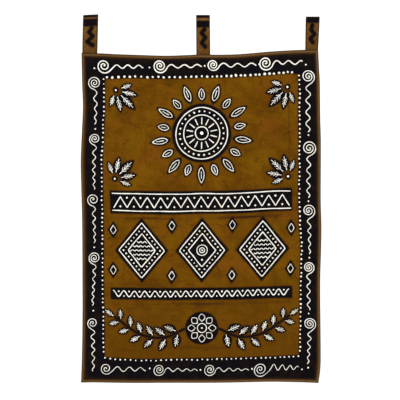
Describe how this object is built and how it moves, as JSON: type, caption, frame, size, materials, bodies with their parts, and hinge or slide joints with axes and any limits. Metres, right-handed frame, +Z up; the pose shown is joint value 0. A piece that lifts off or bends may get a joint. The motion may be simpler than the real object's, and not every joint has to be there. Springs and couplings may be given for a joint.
{
  "type": "cotton wall hanging",
  "caption": "Tall dyed cotton wall hanging with a patterned border, turned hems and fabric tabs along its top edge for a rod.",
  "frame": {"origin": "where a rod would bear: on the panel's middle line, level with the inside of the middle tab's fold, in the plane of the tabs", "axes": "+X to the right as seen from the front, +Y to the back, +Z up"},
  "size_m": [0.575, 0.0153, 0.882],
  "materials": {
    "panel_cotton": "matt plain-woven cotton, wax-resist dyed in golden brown and black with cream lines",
    "tab_cotton": "matt plain-woven cotton, the same brown dye with a black band and a black zigzag"
  },
  "bodies": {
    "root": {"panel": "panel_cotton", "tab_left": "tab_cotton", "tab_middle": "tab_cotton", "tab_right": "tab_cotton"}
  },
  "joints": []
}
